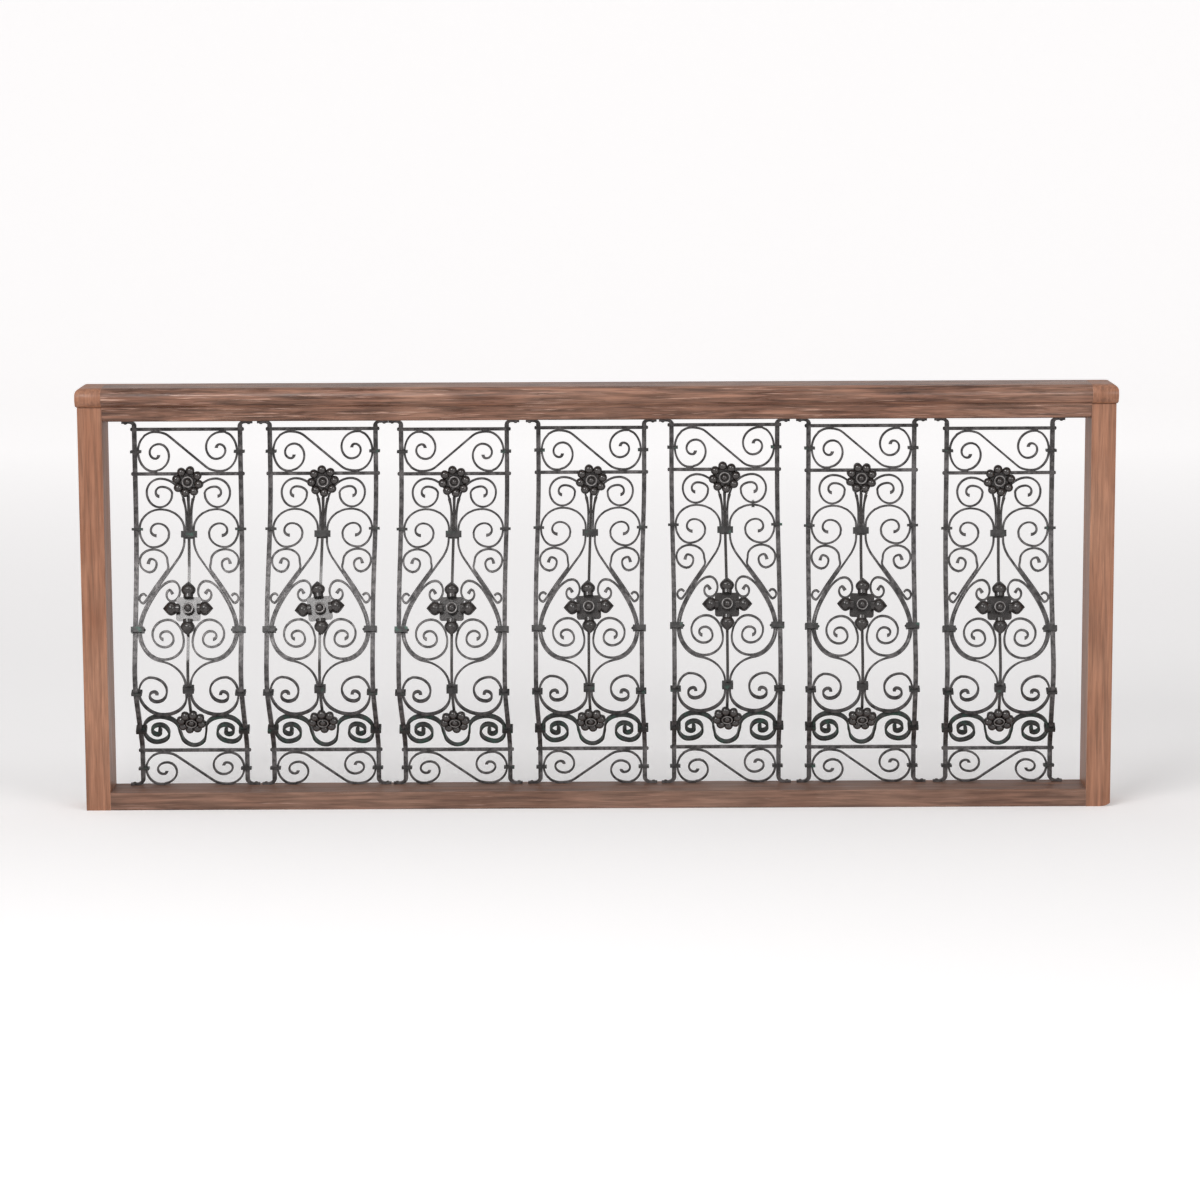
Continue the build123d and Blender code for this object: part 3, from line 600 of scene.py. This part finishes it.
petal_spots, petal_tilts, rim_spots, rim_tilts, eye_spots = [], [], [], [], []
for k in grilles:
    node = "grille_%d_flowers" % k
    # The two levels that each rosette lies between, how far it leans, and the radius of its old petals
    for above, below, lean, old_petal in ((0.6, 1.0, 0.0, 0.009), (0.0, 0.3, belly_lean, 0.0088)):
        middle, across, up, out, radius = facing(casting_points(node, above, below), lean)
        ring = radius - old_petal - petal_nearer
        for i in range(petal_count):
            a = math.radians(rosette_turn[k - 1] + i * 360 / petal_count)
            petal_spots.append(middle + (across * math.cos(a) + up * math.sin(a)) * ring - out * old_petal)
            petal_tilts.append((math.pi / 2 + lean, 0.0, 0.0))
        rim_spots.append(middle - out * rim_back)
        rim_tilts.append((math.pi / 2 + lean, 0.0, 0.0))
        eye_spots.append(middle - out * eye_back)
    # The cross flower between them faces a little upwards
    middle, _, _, out, _ = facing(casting_points(node, 0.3, 0.6), -upper_lean)
    rim_spots.append(middle - out * bud_rim_back)
    rim_tilts.append((math.pi / 2 - upper_lean, 0.0, 0.0))
    eye_spots.append(middle - out * bud_eye_back)
print("petals:", len(petal_spots), "eyes:", len(eye_spots), "rims:", len(rim_spots))

# %% [markdown]
# A petal is a ball that sinks into its plate, and so is an eye. An icosphere has no pole that could catch
# the light, so it suits both. A rim is a ring with a round section, built row by row, because it is too
# small for a curve to be worth its settings.

# %% Petals, eyes and rims
def ball_part(name, radius):
    """A smooth ball, as an object to be repeated."""
    body = bmesh.new()
    bmesh.ops.create_icosphere(body, subdivisions=3, radius=radius)
    return as_object(name, body, smooth=True)


def rim_part(name, radius, thick):
    """A ring with a round section, lying flat round Z."""
    body = bmesh.new()
    around, over = 32, 8
    rows = []
    for i in range(around):
        a = math.tau * i / around
        row = []
        for j in range(over):
            b = math.tau * j / over
            r = radius + thick * math.cos(b)
            row.append(body.verts.new((r * math.cos(a), r * math.sin(a), thick * math.sin(b))))
        rows.append(row)
    for i in range(around):
        for j in range(over):
            a, b = rows[i], rows[(i + 1) % around]
            body.faces.new((a[j], b[j], b[(j + 1) % over], a[(j + 1) % over]))
    bmesh.ops.recalc_face_normals(body, faces=body.faces)
    return as_object(name, body, smooth=True)


petal_part = ball_part("one_petal", radius=0.0098)
eye_part = ball_part("one_eye", radius=0.0074)
ring_part = rim_part("one_rim", radius=0.0108, thick=0.0013)
for name, part, spots, tilts, finish in (
    ("rosette_petals", petal_part, petal_spots, petal_tilts, petal_gloss),
    ("rosette_eyes", eye_part, eye_spots, rim_tilts, petal_gloss),
    # The rims take the pale finish, whose light colour is a painted highlight
    ("rosette_rims", ring_part, rim_spots, rim_tilts, painted_rim_highlight),
):
    piece = grown(name, points(name + "_points", spots, tilts), repeat,
                  {"Part": part, "Spin": 0.0, "Seed": 2, "Finish": finish})
    bpy.data.objects.remove(part)

# %% [markdown]
# ## A turn of wire
# On the fifth grille a scrap of wire is wound round two straps where their collar is missing. A wire that
# winds follows a rule, so it is a spiral curve with a round section, squashed to the shape of the two
# straps.

# %% A turn of wire
def winding_tree():
    """A wire wound round a place: a coil of radius 1 is scaled, turned, moved and given its section."""
    tree, start, end = tree_with("wound_wire", (
        ("Turns", "Float"), ("Wire", "Float"), ("Rise", "Float"), ("Reach", "Vector"), ("Turn", "Vector"),
        ("Place", "Vector"), ("Finish", "Material"),
    ))
    make, link = tree.nodes.new, tree.links.new
    coil = make("GeometryNodeCurveSpiral")
    coil.inputs["Resolution"].default_value = 28
    coil.inputs["Start Radius"].default_value = 1.0
    coil.inputs["End Radius"].default_value = 1.0
    link(start.outputs["Turns"], coil.inputs["Rotations"])
    link(start.outputs["Rise"], coil.inputs["Height"])
    shaped = make("GeometryNodeTransform")
    link(coil.outputs[0], shaped.inputs["Geometry"])
    link(start.outputs["Reach"], shaped.inputs["Scale"])
    link(start.outputs["Turn"], shaped.inputs["Rotation"])
    link(start.outputs["Place"], shaped.inputs["Translation"])
    section = make("GeometryNodeCurvePrimitiveCircle")
    section.inputs["Resolution"].default_value = 10
    link(start.outputs["Wire"], section.inputs["Radius"])
    swept = make("GeometryNodeCurveToMesh")
    swept.inputs["Fill Caps"].default_value = True
    link(shaped.outputs[0], swept.inputs["Curve"])
    link(section.outputs[0], swept.inputs["Profile Curve"])
    finished_off(tree, start, end, swept.outputs[0])
    return tree


wire_rise = 0.0058      # the length that the three turns take up
room_up, room_deep = 1.12, 1.2      # the wire lies this much outside the construction model's tie
tie_low, tie_high = (Vector(v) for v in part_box("wire_tie"))
wire = grown("wound_tie_wire", bpy.data.meshes.new("wire_start"), winding_tree(), {
    "Turns": 3.0, "Wire": 0.00068, "Rise": wire_rise, "Finish": wire_finish,
    "Reach": Vector(((tie_high.z - tie_low.z) / 2 * room_up, (tie_high.y - tie_low.y) / 2 * room_deep, 1.0)),
    "Turn": Vector((0.0, math.pi / 2, 0.0)),
    "Place": (tie_low + tie_high) / 2 - Vector((wire_rise / 2, 0, 0)),
})
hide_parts("wire_tie")

# %% [markdown]
# ## Floor, light and camera
# The panel stands on pale paper that sweeps up behind it into a wall, as in a studio. A bend with no
# corner leaves no line across the picture, so the floor is one strip that follows a flat, a quarter circle
# and a wall.

# %% Floor and backdrop
def swept_floor(front, depth, rise, bend, half_width):
    """A floor that turns up into a wall through a quarter circle."""
    bend_steps = 24
    section = [(-front, 0.0), (depth - bend, 0.0)]
    for i in range(1, bend_steps + 1):
        a = math.radians(90 * i / bend_steps)
        section.append((depth - bend + bend * math.sin(a), bend - bend * math.cos(a)))
    section.append((depth, rise))
    body = bmesh.new()
    rows = [[body.verts.new((x, y, z)) for y, z in section] for x in (-half_width, half_width)]
    for i in range(len(section) - 1):
        body.faces.new((rows[0][i], rows[1][i], rows[1][i + 1], rows[0][i + 1]))
    return as_object("floor", body, smooth=True)


floor = swept_floor(front=30.0, depth=13.0, rise=12.0, bend=4.0, half_width=26.0)
paper, tree, shader, place = new_finish("pale_paper")
shader.inputs["Base Color"].default_value = (0.9, 0.885, 0.885, 1)
shader.inputs["Roughness"].default_value = 0.9
shader.inputs["Specular IOR Level"].default_value = 0.1
# Far from the lamps the paper would turn grey, so what the camera sees of it gains some light of its own
seen = tree.nodes.new("ShaderNodeLightPath").outputs["Is Camera Ray"]
glow = mapped(tree, axis_of(tree, place, "Y"), 0.3, 7.0, 0.14, 0.50)
tree.links.new(calc(tree, "MULTIPLY", seen, glow), shader.inputs["Emission Strength"])
shader.inputs["Emission Color"].default_value = (1.0, 0.985, 0.985, 1)
floor.data.materials.append(paper)
print("floor:", len(floor.data.polygons), "faces")

# %% [markdown]
# Two large soft lamps stand in front, a stronger one on the left and a weaker one on the right. A faint
# one hangs overhead, and a plain bright world fills the shadows. Together they show the work without
# drama.

# %% Lamps and world
def lamp(name, where, at, size, watts):
    """A soft lamp with a rectangular face that looks at a point."""
    light = bpy.data.lights.new(name, "AREA")
    light.shape = "RECTANGLE"
    light.size, light.size_y = size
    light.energy = watts
    piece = bpy.data.objects.new(name, light)
    piece.location = where
    piece.rotation_mode = "QUATERNION"
    piece.rotation_quaternion = (Vector(at) - Vector(where)).to_track_quat("-Z", "Y")
    bpy.context.collection.objects.link(piece)
    print("lamp:", name, watts, "W")


lamp("key", where=(-2.2, -4.2, 3.6), at=(0, 0, 0.45), size=(3.0, 1.6), watts=128)
lamp("fill", where=(3.2, -4.6, 2.2), at=(0, 0, 0.45), size=(2.4, 1.8), watts=60)
lamp("top", where=(0.0, -1.2, 3.8), at=(0, 0, 0.6), size=(3.6, 1.0), watts=16)
world = bpy.data.worlds.new("studio")
world.use_nodes = True
world.node_tree.nodes["Background"].inputs["Color"].default_value = (1, 1, 1, 1)
world.node_tree.nodes["Background"].inputs["Strength"].default_value = 0.5
bpy.context.scene.world = world

# %% [markdown]
# The camera stands about eight metres away with a long lens, which keeps the uprights nearly parallel. It
# is higher than the frame and looks down a little, so the head rail shows its upper face.

# %% Camera
camera_data = bpy.data.cameras.new("camera")
camera_data.sensor_width = 36.0
camera_data.lens = 112.1
camera = bpy.data.objects.new("camera", camera_data)
bpy.context.collection.objects.link(camera)
yaw, pitch, roll = math.radians(0.096), math.radians(8.575), math.radians(-0.228)
aim = Vector((math.sin(yaw) * math.cos(pitch), math.cos(yaw) * math.cos(pitch), -math.sin(pitch)))
camera.location = (-0.008, -7.93, 1.641)
camera.rotation_mode = "QUATERNION"
camera.rotation_quaternion = aim.to_track_quat("-Z", "Y") @ Matrix.Rotation(roll, 3, "Z").to_quaternion()
bpy.context.scene.camera = camera
bpy.context.scene.view_settings.view_transform = "Standard"
print("camera:", tuple(round(v, 3) for v in camera.location), "lens:", round(camera_data.lens, 1), "mm")
